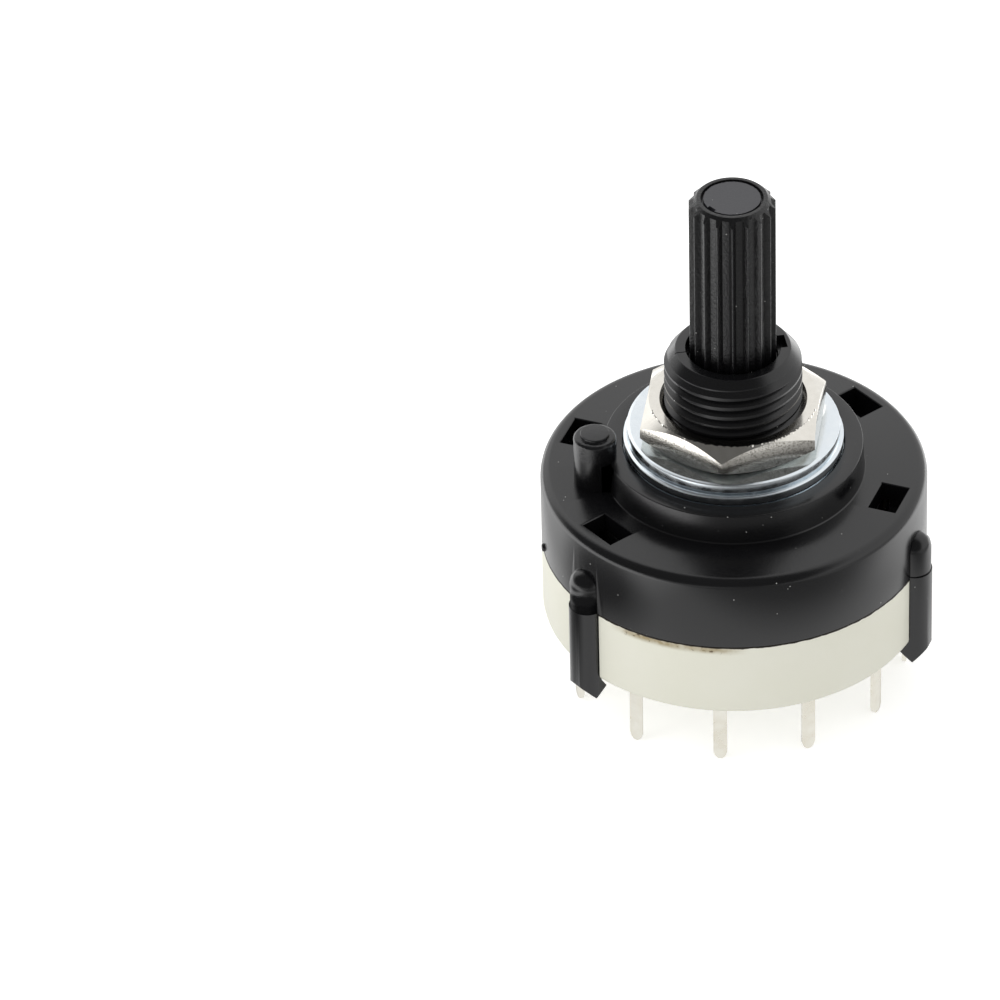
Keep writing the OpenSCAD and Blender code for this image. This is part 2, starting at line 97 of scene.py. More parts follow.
# %% sizes of the mouldings
Z_FACE = -2.17
Z_ROOF = -3.52
Z_RECESS = -1.2
Z_GROOVE = -2.4
CAVITY_R = 12.2
CREST_R = 10.9
COLLAR_R = 9.0
COLLAR_TOP_R = 8.87
RECESS_R = 7.62
BUSH_R = 4.72
PITCH = 0.79
THREAD_DEPTH = 0.36
BORE_R = 3.05
CLIP_ANGLES = (-150, -30, 90)
WINDOW_ANGLES = (-150, -30, 30, 150)
FIRST_ANGLE = 165
STEP = 30

# %% [markdown]
# ## Camera
# The picture was taken with a long lens from above the front. The camera looks at a point on
# the shaft's axis, and is then turned a little so that this point lands right of the middle.

# %% place the camera
IMAGE_PX = 1000
FOCAL_PX = 8816.9
AIM_PX = (733.74, 470.0)
AIM_POINT = Vector((0, 0, -2.6 * MM))
DISTANCE = 605.9 * MM
AZIMUTH = math.radians(-10)
ELEVATION = math.radians(36.62)
ROLL = math.radians(-0.355)
SENSOR_MM = 36

towards_camera = Vector((math.cos(ELEVATION) * math.sin(AZIMUTH),
                         -math.cos(ELEVATION) * math.cos(AZIMUTH),
                         math.sin(ELEVATION)))
bpy.ops.object.camera_add(location=AIM_POINT + towards_camera * DISTANCE)
camera = bpy.context.object
camera.data.sensor_width = SENSOR_MM
camera.data.lens = SENSOR_MM * FOCAL_PX / IMAGE_PX
camera.data.clip_start = 0.05
half = IMAGE_PX / 2
aim_ray = Vector(((AIM_PX[0] - half) / FOCAL_PX, (half - AIM_PX[1]) / FOCAL_PX, -1)).normalized()
look = (-towards_camera).to_track_quat("-Z", "Y")
aside = Vector((0, 0, -1)).rotation_difference(aim_ray)
camera.rotation_mode = "QUATERNION"
camera.rotation_quaternion = look @ Quaternion((0, 0, 1), ROLL) @ aside.inverted()
bpy.context.scene.camera = camera
print("lens %.1f mm at %.0f mm" % (camera.data.lens, DISTANCE / MM))

# %% [markdown]
# ## Nodes
# Every finish below is a small tree of shader nodes. One function adds a node, sets its
# properties and either links or fills its inputs. Positions are read in millimetres, so that
# a pattern's scale is simply one over its real size.

# %% helpers for finishes
def add(tree, kind, inputs=None, **settings):
    """Add a shader node, set its properties, and fill or link its inputs."""
    node = tree.nodes.new("ShaderNode" + kind)
    for key, value in settings.items():
        setattr(node, key, value)
    for key, value in (inputs or {}).items():
        if isinstance(value, bpy.types.NodeSocket):
            tree.links.new(value, node.inputs[key])
        else:
            node.inputs[key].default_value = value
    return node


def colour(text):
    """An sRGB hex colour as linear RGBA."""
    parts = [int(text[i:i + 2], 16) / 255 for i in (1, 3, 5)]
    linear = [c / 12.92 if c <= 0.04045 else ((c + 0.055) / 1.055) ** 2.4 for c in parts]
    return (*linear, 1.0)


def new_finish(name):
    """An empty material with a shader, and the position on the piece in millimetres."""
    material = bpy.data.materials.new(name)
    material.use_nodes = True
    tree = material.node_tree
    shader = tree.nodes["Principled BSDF"]
    place = add(tree, "TexCoord")
    in_mm = add(tree, "Mapping", {"Vector": place.outputs["Object"], "Scale": (1 / MM,) * 3})
    return material, tree, shader, in_mm.outputs["Vector"]


# %% [markdown]
# ## Studio
# The picture has a pure white ground and light from all round, as in a light tent. The tent is
# open towards the room, where the photographer stands, so everything that mirrors that side
# looks dark. To mirrored rays the paper shows a painted glow instead of its own light: painted
# shade towards its far front, painted light at its sides, and a painted dark spot that stands
# for a second switch, which lay at the left. The floor is white to the camera and still takes a
# faint shadow.

# %% build the tent
TENT = 0.76
ROOM_SIDE = (-0.55, -0.65, 0.52)
ROOM_LEVEL = 0.12

scene = bpy.context.scene
scene.view_settings.view_transform = "Standard"
scene.world = bpy.data.worlds.new("white tent")
scene.world.use_nodes = True
sky = scene.world.node_tree
rays = add(sky, "LightPath")
way = add(sky, "TexCoord")
facing = add(sky, "VectorMath", {0: way.outputs["Generated"], 1: ROOM_SIDE}, operation="DOT_PRODUCT")
mirrored = add(sky, "MapRange", {"Value": facing.outputs["Value"], "From Min": 0.1, "From Max": 0.45,
                                 "To Min": 1.0, "To Max": ROOM_LEVEL}, interpolation_type="SMOOTHSTEP")
level = add(sky, "MapRange", {"Value": rays.outputs["Is Glossy Ray"], "To Min": TENT,
                              "To Max": mirrored.outputs[0]})
level = add(sky, "Math", {0: level.outputs[0], 1: rays.outputs["Is Camera Ray"]}, operation="MAXIMUM")
background = sky.nodes["Background"]
background.inputs["Color"].default_value = colour("#FFFFFF")
sky.links.new(level.outputs[0], background.inputs["Strength"])
print("tent %.2f, room side %.2f" % (TENT, ROOM_LEVEL))

# %% lay the paper and set the lamps
GROUND_GLOW = 0.5
PAPER_WAY = (0.4, -0.92, 0.0)
PAPER_NEAR = 23.0
PAPER_FAR = 36.0
PAPER_DARK = 0.3
PAPER_SIDE = (24.0, 42.0)
PAPER_LIGHT = 2.2
NEIGHBOUR_AT = (-33.0, -7.0, 0.0)
NEIGHBOUR_R = (8.0, 18.0)
NEIGHBOUR_DARK = 0.12

floor_finish, tree, shader, position = new_finish("white paper")
shader.inputs["Base Color"].default_value = colour("#F4F4F4")
shader.inputs["Roughness"].default_value = 0.9
shader.inputs["Specular IOR Level"].default_value = 0.0
rays = add(tree, "LightPath")
glow = add(tree, "Math", {0: rays.outputs["Is Camera Ray"], 1: GROUND_GLOW}, operation="MULTIPLY")
shader.inputs["Emission Color"].default_value = colour("#FFFFFF")
tree.links.new(glow.outputs[0], shader.inputs["Emission Strength"])
ground = add(tree, "SeparateXYZ", {"Vector": position})
# painted glow seen only in reflections: painted shade towards the front, painted light at the sides, painted dark
# spot for the second switch
ahead = add(tree, "VectorMath", {0: position, 1: PAPER_WAY}, operation="DOT_PRODUCT")
painted_front_shade = add(tree, "MapRange", {"Value": ahead.outputs["Value"], "From Min": PAPER_NEAR, "From Max": PAPER_FAR,
                                   "To Min": 1.0, "To Max": PAPER_DARK})
aside = add(tree, "Math", {0: ground.outputs["X"]}, operation="ABSOLUTE")
painted_side_light = add(tree, "MapRange", {"Value": aside.outputs[0], "From Min": PAPER_SIDE[0], "From Max": PAPER_SIDE[1],
                                 "To Min": 1.0, "To Max": PAPER_LIGHT})
painted_mirror_glow = add(tree, "Math", {0: painted_front_shade.outputs[0], 1: painted_side_light.outputs[0]}, operation="MULTIPLY")
beside = add(tree, "VectorMath", {0: position, 1: NEIGHBOUR_AT}, operation="DISTANCE")
painted_neighbour_shade = add(tree, "MapRange", {"Value": beside.outputs["Value"], "From Min": NEIGHBOUR_R[0],
                                "From Max": NEIGHBOUR_R[1], "To Min": NEIGHBOUR_DARK, "To Max": 1.0})
painted_mirror_glow = add(tree, "Math", {0: painted_mirror_glow.outputs[0], 1: painted_neighbour_shade.outputs[0]}, operation="MULTIPLY")
mirror = add(tree, "Emission", {"Strength": painted_mirror_glow.outputs[0]})
either = add(tree, "MixShader", {0: rays.outputs["Is Glossy Ray"], 1: shader.outputs[0], 2: mirror.outputs[0]})
tree.links.new(either.outputs[0], tree.nodes["Material Output"].inputs["Surface"])

bpy.ops.object.select_all(action="DESELECT")
bpy.ops.mesh.primitive_plane_add(size=3.0, location=(0, 0, cad_box[0].z))
floor = bpy.context.object
floor.name = "paper_floor"
floor.data.materials.append(floor_finish)
floor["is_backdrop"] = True

LAMPS = {
    "softbox_top": ((-0.15, 0.25, 0.75), 0.7, 1.8, False),
    "softbox_left": ((-0.7, -0.1, 0.45), 0.5, 1.0, False),
    "softbox_back": ((-0.12, 0.22, 0.16), 0.2, 0.04, True),
}
for name, (place, size, watts, mirrored) in LAMPS.items():
    bpy.ops.object.light_add(type="AREA", location=place)
    lamp = bpy.context.object
    lamp.name = name
    lamp.data.energy = watts
    lamp.data.size = size
    lamp.rotation_euler = (-Vector(place)).to_track_quat("-Z", "Y").to_euler()
    lamp.visible_glossy = mirrored
print("floor at %.2f mm, lamps: %s" % (cad_box[0].z / MM, ", ".join(LAMPS)))

# %% [markdown]
# ## Black moulding compound
# The housing and the shaft are injection moulded in a black filled thermoplastic. It is
# almost black in itself, and what the eye sees is its satin skin: a blurred reflection of
# the tent, a very fine grain from the tool, and a few specks of dust.

# %% finish: black thermoplastic
CLOUD_MM = 5.0
DUST_CELL_MM = 1.0
PEG_SPOT = ((-9.62, 0.0, 1.5), 1.9, 40, "#0F0F11")
END_SPOT = ((0.0, 0.0, SHAFT_TOP), 2.05, 12, "#343438")


def black_thermoplastic(name, grain_mm, grain_um, roughness, spot):
    """Satin black plastic with a moulded grain, sparse dust, and one spot of another grain and tone."""
    spot_at, spot_r, spot_um, spot_tone = spot
    material, tree, shader, at = new_finish(name)
    cloud = add(tree, "TexNoise", {"Vector": at, "Scale": 1 / CLOUD_MM, "Detail": 4.0})
    grain = add(tree, "TexNoise", {"Vector": at, "Scale": 1 / grain_mm, "Detail": 3.0})
    dust = add(tree, "TexVoronoi", {"Vector": at, "Scale": 1 / DUST_CELL_MM, "Randomness": 1.0})
    speck = add(tree, "MapRange", {"Value": dust.outputs["Distance"], "From Min": 0.05,
                                   "From Max": 0.025, "To Min": 0.0, "To Max": 0.8})
    off = add(tree, "VectorMath", {0: at, 1: spot_at}, operation="DISTANCE")
    inside = add(tree, "MapRange", {"Value": off.outputs["Value"], "From Min": spot_r * 1.03, "From Max": spot_r})
    tone = add(tree, "Mix", {"Factor": cloud.outputs[0], 6: colour("#0A0A0B"), 7: colour("#0F0F11")},
               data_type="RGBA")
    tone = add(tree, "Mix", {"Factor": inside.outputs[0], 6: tone.outputs[2], 7: colour(spot_tone)},
               data_type="RGBA")
    dusty = add(tree, "Mix", {"Factor": speck.outputs[0], 6: tone.outputs[2], 7: colour("#CFCFCB")},
                data_type="RGBA")
    satin = add(tree, "MapRange", {"Value": grain.outputs[0], "From Min": 0.3, "From Max": 0.7,
                                   "To Min": roughness - 0.03, "To Max": roughness + 0.03})
    depth = add(tree, "MapRange", {"Value": inside.outputs[0], "To Min": grain_um * 0.001 * MM,
                                   "To Max": spot_um * 0.001 * MM})
    bump = add(tree, "Bump", {"Height": grain.outputs[0], "Strength": 0.6, "Distance": depth.outputs[0]})
    tree.links.new(dusty.outputs[2], shader.inputs["Base Color"])
    tree.links.new(satin.outputs[0], shader.inputs["Roughness"])
    tree.links.new(bump.outputs[0], shader.inputs["Normal"])
    shader.inputs["IOR"].default_value = 1.56
    return material


housing_finish = black_thermoplastic("black thermoplastic, satin tool", 0.14, 4, 0.22, PEG_SPOT)
shaft_finish = black_thermoplastic("black thermoplastic, eroded tool", 0.2, 75, 0.34, END_SPOT)
print("finishes:", housing_finish.name, "/", shaft_finish.name)

# %% [markdown]
# ## Cream moulding compound
# The terminal base is moulded in an uncoloured compound, cream white and a little cloudy.
# Under the seam, at the front left, the real one carries a thin brown smudge, which stays. A ragged
# dark line just under the seam, all round, is painted shade in the joint, and at the front left also
# the brown line of the smudge.

# %% finish: cream thermoplastic
SMUDGE_FROM = math.radians(-141)
SMUDGE_TO = math.radians(-95)
SMUDGE_DEEP = 0.7
SEAM_SHADE_AND_DIRT = 0.2


def cream_thermoplastic():
    """Cream white plastic with faint clouds, a brown smudge under the seam and a line of painted shade along the
    seam.
    """
    material, tree, shader, at = new_finish("cream thermoplastic")
    cloud = add(tree, "TexNoise", {"Vector": at, "Scale": 1 / 4.0, "Detail": 5.0})
    tone = add(tree, "Mix", {"Factor": cloud.outputs[0], 6: colour("#E9E8D7"), 7: colour("#EFEEE1")},
               data_type="RGBA")
    axis = add(tree, "SeparateXYZ", {"Vector": at})
    turn = add(tree, "Math", {0: axis.outputs["Y"], 1: axis.outputs["X"]}, operation="ARCTAN2")
    mid = (SMUDGE_FROM + SMUDGE_TO) / 2
    off = add(tree, "Math", {0: turn.outputs[0], 1: mid}, operation="SUBTRACT")
    far = add(tree, "Math", {0: off.outputs[0]}, operation="ABSOLUTE")
    wide = add(tree, "MapRange", {"Value": far.outputs[0], "From Min": (SMUDGE_TO - SMUDGE_FROM) / 2,
                                  "From Max": (SMUDGE_TO - SMUDGE_FROM) / 4}, interpolation_type="SMOOTHSTEP")
    high = add(tree, "MapRange", {"Value": axis.outputs["Z"], "From Min": Z_SEAM - SMUDGE_DEEP,
                                  "From Max": Z_SEAM - 0.25}, interpolation_type="SMOOTHSTEP")
    blot = add(tree, "TexNoise", {"Vector": at, "Scale": 1 / 0.7, "Detail": 6.0})
    patchy = add(tree, "MapRange", {"Value": blot.outputs[0], "From Min": 0.3, "From Max": 0.6,
                                    "To Min": 0.5, "To Max": 1.0})
    mask = add(tree, "Math", {0: wide.outputs[0], 1: high.outputs[0]}, operation="MULTIPLY")
    mask = add(tree, "Math", {0: mask.outputs[0], 1: patchy.outputs[0]}, operation="MULTIPLY")
    dirt_and_seam_shade = add(tree, "Mix", {"Factor": mask.outputs[0], 6: tone.outputs[2], 7: colour("#A4946F")},
                data_type="RGBA")
    crumb = add(tree, "TexNoise", {"Vector": at, "Scale": 1 / 0.35, "Detail": 3.0})
    crumbs = add(tree, "MapRange", {"Value": crumb.outputs[0], "From Min": 0.62, "From Max": 0.68})
    mask = add(tree, "Math", {0: mask.outputs[0], 1: crumbs.outputs[0]}, operation="MULTIPLY")
    dirt_and_seam_shade = add(tree, "Mix", {"Factor": mask.outputs[0], 6: dirt_and_seam_shade.outputs[2], 7: colour("#4E3A20")},
                data_type="RGBA")
    # a ragged dark line just under the seam, all round: painted shade in the joint, and at the front left also
    # the smudge's brown line
    ragged = add(tree, "Math", {0: blot.outputs[0], 1: SEAM_SHADE_AND_DIRT}, operation="MULTIPLY")
    depth = add(tree, "Math", {0: Z_SEAM, 1: axis.outputs["Z"]}, operation="SUBTRACT")
    line = add(tree, "Math", {0: depth.outputs[0], 1: ragged.outputs[0]}, operation="LESS_THAN")
    dirt_and_seam_shade = add(tree, "Mix", {"Factor": line.outputs[0], 6: dirt_and_seam_shade.outputs[2], 7: colour("#2B241B")},
                data_type="RGBA")
    fine = add(tree, "TexNoise", {"Vector": at, "Scale": 1 / 0.2, "Detail": 2.0})
    bump = add(tree, "Bump", {"Height": fine.outputs[0], "Strength": 0.4, "Distance": 0.004 * MM})
    tree.links.new(dirt_and_seam_shade.outputs[2], shader.inputs["Base Color"])
    tree.links.new(bump.outputs[0], shader.inputs["Normal"])
    shader.inputs["Roughness"].default_value = 0.48
    return material


base_finish = cream_thermoplastic()
print("finish:", base_finish.name)

# %% [markdown]
# ## Plated metals
# The nut is turned from hexagon bar and nickel plated, warm and bright. The washers are
# stamped and zinc plated with a blue tint. The pins are tinned strip, and inside there are a
# brass wiper, bare spring wire and two hard steel balls. Each has a grain of its own size.

# %% finish: metals
def plated_metal(name, dark, light, grain_mm, roughness, bump_um):
    """A metal whose tone and gloss vary with a grain of the given size."""
    material, tree, shader, at = new_finish(name)
    grain = add(tree, "TexNoise", {"Vector": at, "Scale": 1 / grain_mm, "Detail": 5.0})
    tone = add(tree, "Mix", {"Factor": grain.outputs[0], 6: colour(dark), 7: colour(light)},
               data_type="RGBA")
    gloss = add(tree, "MapRange", {"Value": grain.outputs[0], "From Min": 0.3, "From Max": 0.7,
                                   "To Min": roughness * 0.7, "To Max": roughness * 1.3})
    bump = add(tree, "Bump", {"Height": grain.outputs[0], "Strength": 0.5,
                              "Distance": bump_um * 0.001 * MM})
    shader.inputs["Metallic"].default_value = 1.0
    tree.links.new(tone.outputs[2], shader.inputs["Base Color"])
    tree.links.new(gloss.outputs[0], shader.inputs["Roughness"])
    tree.links.new(bump.outputs[0], shader.inputs["Normal"])
    return material


def nickel_plate():
    """Nickel on a drawn bar: smooth where it was turned, pitted on the flats of the bar."""
    material, tree, shader, at = new_finish("bright nickel on brass")
    sheen = add(tree, "TexNoise", {"Vector": at, "Scale": 1 / 0.6, "Detail": 5.0})
    tone = add(tree, "Mix", {"Factor": sheen.outputs[0], 6: colour("#DDD9D0"), 7: colour("#EEEBE4")},
               data_type="RGBA")
    normal = add(tree, "NewGeometry")
    up = add(tree, "SeparateXYZ", {"Vector": normal.outputs["True Normal"]})
    level = add(tree, "Math", {0: up.outputs["Z"]}, operation="ABSOLUTE")
    flat = add(tree, "MapRange", {"Value": level.outputs[0], "From Min": 0.5, "From Max": 0.2})
    pits = add(tree, "TexNoise", {"Vector": at, "Scale": 1 / 0.12, "Detail": 5.0, "Roughness": 0.6})
    pitted = add(tree, "MapRange", {"Value": pits.outputs[0], "From Min": 0.48, "From Max": 0.72})
    mask = add(tree, "Math", {0: flat.outputs[0], 1: pitted.outputs[0]}, operation="MULTIPLY")
    worn = add(tree, "Mix", {"Factor": mask.outputs[0], 6: tone.outputs[2], 7: colour("#8A867A")},
               data_type="RGBA")
    depth = add(tree, "MapRange", {"Value": flat.outputs[0], "To Min": 0.002 * MM, "To Max": 0.012 * MM})
    bump = add(tree, "Bump", {"Height": pits.outputs[0], "Strength": 0.6, "Distance": depth.outputs[0]})
    shader.inputs["Metallic"].default_value = 1.0
    shader.inputs["Roughness"].default_value = 0.14
    tree.links.new(worn.outputs[2], shader.inputs["Base Color"])
    tree.links.new(bump.outputs[0], shader.inputs["Normal"])
    return material


nickel = nickel_plate()
zinc = plated_metal("blue zinc on steel", "#DCE4EA", "#EEF3F6", 0.6, 0.2, 3)
tin = plated_metal("matt tin on brass", "#D3CDBB", "#FAF9F1", 1.1, 0.32, 4)
brass = plated_metal("spring brass", "#B98F45", "#CFA55A", 0.5, 0.3, 3)
wire_steel = plated_metal("drawn spring wire", "#8F9093", "#A5A6A9", 0.2, 0.28, 3)
ball_steel = plated_metal("ground ball steel", "#B9BBBE", "#C9CBCE", 0.8, 0.1, 1)
print("metals:", nickel.name, "/", zinc.name, "/", tin.name)

# %% [markdown]
# ## Drawing by hand
# Most of the pieces are turned or moulded round an axis. They start as one vertex that is
# extruded from point to point along half of the section. Corners are then bevelled, and the
# section is spun into a solid.

# %% helpers for modelling
SMOOTH_ANGLE = math.radians(32)
STEPS = 144


def activate(piece):
    """Make one object the only selected and active one."""
    bpy.ops.object.select_all(action="DESELECT")
    piece.select_set(True)
    bpy.context.view_layer.objects.active = piece


def pick(piece, test, kind="VERT"):
    """In edit mode, select the vertices, edges or faces whose middle, in millimetres, passes a test."""
    bpy.ops.mesh.select_mode(type=kind)
    bpy.ops.mesh.select_all(action="DESELECT")
    mesh = bmesh.from_edit_mesh(piece.data)
    rows = {"VERT": mesh.verts, "EDGE": mesh.edges, "FACE": mesh.faces}[kind]
    count = 0
    for row in rows:
        corners = [row] if kind == "VERT" else list(row.verts)
        if all(test(v.co / MM) for v in corners):
            row.select_set(True)
            count += 1
    mesh.select_flush_mode()
    bmesh.update_edit_mesh(piece.data)
    return count


def draw(name, points, closed=True):
    """Extrude one vertex along points in millimetres and stay in edit mode."""
    bpy.ops.object.select_all(action="DESELECT")
    bpy.ops.mesh.primitive_plane_add(size=MM)
    piece = bpy.context.object
    piece.name = piece.data.name = name
    bpy.ops.object.mode_set(mode="EDIT")
    bpy.ops.mesh.select_mode(type="VERT")
    bpy.ops.mesh.select_all(action="SELECT")
    bpy.ops.mesh.merge(type="CENTER")
    path = [Vector(p) * MM for p in points]
    bpy.ops.transform.translate(value=path[0])
    for here, there in zip(path, path[1:]):
        bpy.ops.mesh.extrude_region_move(TRANSFORM_OT_translate={"value": there - here})
    if closed:
        ends = (points[0], points[-1])
        pick(piece, lambda p: min((p - Vector(e)).length for e in ends) < 1e-3)
        bpy.ops.mesh.edge_face_add()
    return piece


def soften(piece, corner, radius, segments=4):
    """Bevel one corner of a drawn outline to an arc of the given radius."""
    pick(piece, lambda p: (p - Vector(corner)).length < 1e-3)
    mesh = bmesh.from_edit_mesh(piece.data)
    vertex = next(v for v in mesh.verts if v.select)
    sides = [(e.other_vert(vertex).co - vertex.co) for e in vertex.link_edges]
    reach = radius / math.tan(sides[0].angle(sides[1]) / 2)
    bpy.ops.mesh.bevel(offset=reach * MM, segments=segments, affect="VERTICES")


def close_up(piece):
    """Merge doubles, turn the faces outwards and leave edit mode."""
    bpy.ops.mesh.select_mode(type="VERT")
    bpy.ops.mesh.select_all(action="SELECT")
    bpy.ops.mesh.remove_doubles(threshold=0.0005 * MM)
    bpy.ops.mesh.dissolve_degenerate(threshold=0.0002 * MM)
    bpy.ops.mesh.select_all(action="SELECT")
    bpy.ops.mesh.normals_make_consistent(inside=False)
    bpy.ops.object.mode_set(mode="OBJECT")


def turned(name, section, softened=(), centre=(0, 0, 0), angle=360, steps=STEPS):
    """Spin half of a section, given as radius and height, counterclockwise round an upright axis."""
    points = [(centre[0] + r, centre[1], z) for r, z in section]
    piece = draw(name, points)
    for index, radius in softened:
        soften(piece, points[index], radius)
    bpy.ops.mesh.select_all(action="SELECT")
    if angle < 360:
        bpy.ops.mesh.edge_face_add()
    middle = Vector(centre) * MM
    bpy.ops.mesh.spin(steps=steps, angle=math.radians(angle), center=middle, axis=(0, 0, -1))
    close_up(piece)
    return piece


def block(name, low, high):
    """A box between two corners in millimetres, with its place in its mesh."""
    low, high = Vector(low) * MM, Vector(high) * MM
    bpy.ops.object.select_all(action="DESELECT")
    bpy.ops.mesh.primitive_cube_add(size=1, location=(low + high) / 2, scale=high - low)
    bpy.ops.object.transform_apply(location=True, rotation=True, scale=True)
    piece = bpy.context.object
    piece.name = piece.data.name = name
    return piece


def rod(name, radius, z0, z1, centre=(0, 0), vertices=48):
    """An upright cylinder between two heights in millimetres."""
    bpy.ops.object.select_all(action="DESELECT")
    bpy.ops.mesh.primitive_cylinder_add(
        vertices=vertices, radius=radius * MM, depth=(z1 - z0) * MM,
        location=(centre[0] * MM, centre[1] * MM, (z0 + z1) / 2 * MM))
    bpy.ops.object.transform_apply(location=True)
    piece = bpy.context.object
    piece.name = piece.data.name = name
    return piece


def turn_to(piece, degrees):
    """Turn a piece round the shaft's axis and keep the turn in its mesh."""
    activate(piece)
    piece.rotation_euler.z = math.radians(degrees)
    bpy.ops.object.transform_apply(rotation=True)
    return piece


def copies(piece, angles):
    """The piece turned to each angle round the axis, every copy with its own mesh."""
    rows = []
    for degrees in angles:
        activate(piece)
        bpy.ops.object.duplicate()
        rows.append(turn_to(bpy.context.object, degrees))
    bpy.data.objects.remove(piece)
    return rows


def joined(pieces):
    """Several loose pieces as one object."""
    activate(pieces[0])
    for piece in pieces:
        piece.select_set(True)
    bpy.ops.object.join()
    return bpy.context.object


def combine(piece, tool, operation):
    """Cut, add or intersect with a tool by a Boolean modifier, and use the tool up."""
    activate(piece)
    modifier = piece.modifiers.new(operation.lower(), "BOOLEAN")
    modifier.operation = operation
    modifier.solver = "EXACT"
    modifier.object = tool
    bpy.ops.object.modifier_apply(modifier=modifier.name)
    bpy.data.objects.remove(tool)
    return piece


def dress(piece, finish, body, slot, *nodes, angle=SMOOTH_ANGLE):
    """Shade a finished piece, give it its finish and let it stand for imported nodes."""
    activate(piece)
    bpy.ops.object.mode_set(mode="EDIT")
    close_up(piece)
    bpy.ops.object.shade_smooth_by_angle(angle=angle)
    piece.data.materials.clear()
    piece.data.materials.append(finish)
    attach(piece, body)
    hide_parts(*nodes)
    faces = sum(len(p.vertices) - 2 for p in piece.data.polygons)
    print("%s: %d triangles" % (piece.name, faces))
    return piece


# %% [markdown]
# ## Thread
# A moulded thread is one ridge wound round the bush. One pitch of it is drawn as a zigzag and
# the Screw modifier winds it upwards. Two level cuts close the ends, so the result is a
# solid rod that can be added to the bush or cut out of the nut.

# %% wind a thread
THREAD_STEPS = 96
THREAD_FOOT = -0.135
CREST = (0.0, 0.2, 0.53, 0.67)


def threaded_rod(name, radius, z0, z1):
    """A solid rod with a right-hand thread between two heights in millimetres."""
    root = radius - THREAD_DEPTH
    start = THREAD_FOOT + PITCH * (math.floor((z0 - THREAD_FOOT) / PITCH) - 1)
    zigzag = [(radius, 0, start + CREST[0] * PITCH), (radius, 0, start + CREST[1] * PITCH),
              (root, 0, start + CREST[2] * PITCH), (root, 0, start + CREST[3] * PITCH),
              (radius, 0, start + PITCH)]
    piece = draw(name, zigzag, closed=False)
    bpy.ops.object.mode_set(mode="OBJECT")
    turns = math.ceil((z1 - start) / PITCH) + 2
    screw = piece.modifiers.new("thread", "SCREW")
    screw.screw_offset = PITCH * MM
    screw.iterations = turns
    screw.steps = screw.render_steps = THREAD_STEPS
    screw.use_merge_vertices = True
    screw.merge_threshold = 0.0005 * MM
    activate(piece)
    bpy.ops.object.modifier_apply(modifier=screw.name)
    bpy.ops.object.mode_set(mode="EDIT")
    bpy.ops.mesh.select_mode(type="VERT")
    bpy.ops.mesh.select_all(action="SELECT")
    bpy.ops.mesh.remove_doubles(threshold=0.0005 * MM)
    for height, side in ((z0, "inner"), (z1, "outer")):
        bpy.ops.mesh.select_all(action="SELECT")
        bpy.ops.mesh.bisect(plane_co=(0, 0, height * MM), plane_no=(0, 0, 1), use_fill=True,
                            clear_inner=side == "inner", clear_outer=side == "outer",
                            threshold=0.0001 * MM)
    close_up(piece)
    return piece


# %% [markdown]
# ## Housing
# The housing is one moulding: a cup with a stepped collar, a threaded bush, a locating peg
# and three clips. The cup and collar are spun in one section with every edge softened, and
# the other forms are added to it and cut from it.

# %% housing: cup and collar
section = [(0, Z_ROOF), (CREST_R, Z_ROOF), (CREST_R, -6.42), (CAVITY_R, -6.42), (CAVITY_R, Z_SEAM),
           (BODY_R, Z_SEAM), (BODY_R, Z_FACE), (COLLAR_R, Z_FACE), (COLLAR_TOP_R, 0),
           (RECESS_R, 0), (RECESS_R, Z_RECESS), (0, Z_RECESS)]
housing = turned("switch_housing", section,
                 softened=((5, 0.07), (6, 0.65), (7, 0.1), (8, 0.07), (9, 0.07)))
print("cup and collar:", len(housing.data.polygons), "faces")

# %% housing: windows, notches, stop holes and groove
FLARE = 0.06
window = block("window", (CAVITY_R - 1.95, -2.95 / 2, Z_ROOF - 0.5), (CAVITY_R, 2.95 / 2, Z_FACE - FLARE))
activate(window)
bpy.ops.object.mode_set(mode="EDIT")
pick(window, lambda p: p.z > Z_FACE - 2 * FLARE, "FACE")
bpy.ops.mesh.extrude_region_move(TRANSFORM_OT_translate={"value": (0, 0, 2 * FLARE * MM)})
bpy.ops.transform.resize(value=(1 + 4 * FLARE / 1.95, 1 + 4 * FLARE / 2.95, 1))
bpy.ops.object.mode_set(mode="OBJECT")
combine(housing, joined(copies(window, WINDOW_ANGLES)), "DIFFERENCE")

NOTCH_R = 1.4
notch = rod("notch", NOTCH_R, -7.42, Z_ROOF, centre=(CREST_R + 0.4 - NOTCH_R, 0))
positions = [FIRST_ANGLE + STEP * i for i in range(12)]
combine(housing, joined(copies(notch, positions)), "DIFFERENCE")
groove = turned("groove", [(5.805, Z_ROOF - 0.5), (7.355, Z_ROOF - 0.5), (7.355, Z_GROOVE), (5.805, Z_GROOVE)])
combine(housing, groove, "DIFFERENCE")
hole = block("stop_hole", (5.955, -0.65, Z_GROOVE - 0.5), (7.205, 0.65, Z_RECESS + 0.5))
combine(housing, joined(copies(hole, [180 + STEP * i for i in range(12)])), "DIFFERENCE")
print("windows and notches cut:", len(housing.data.polygons), "faces")

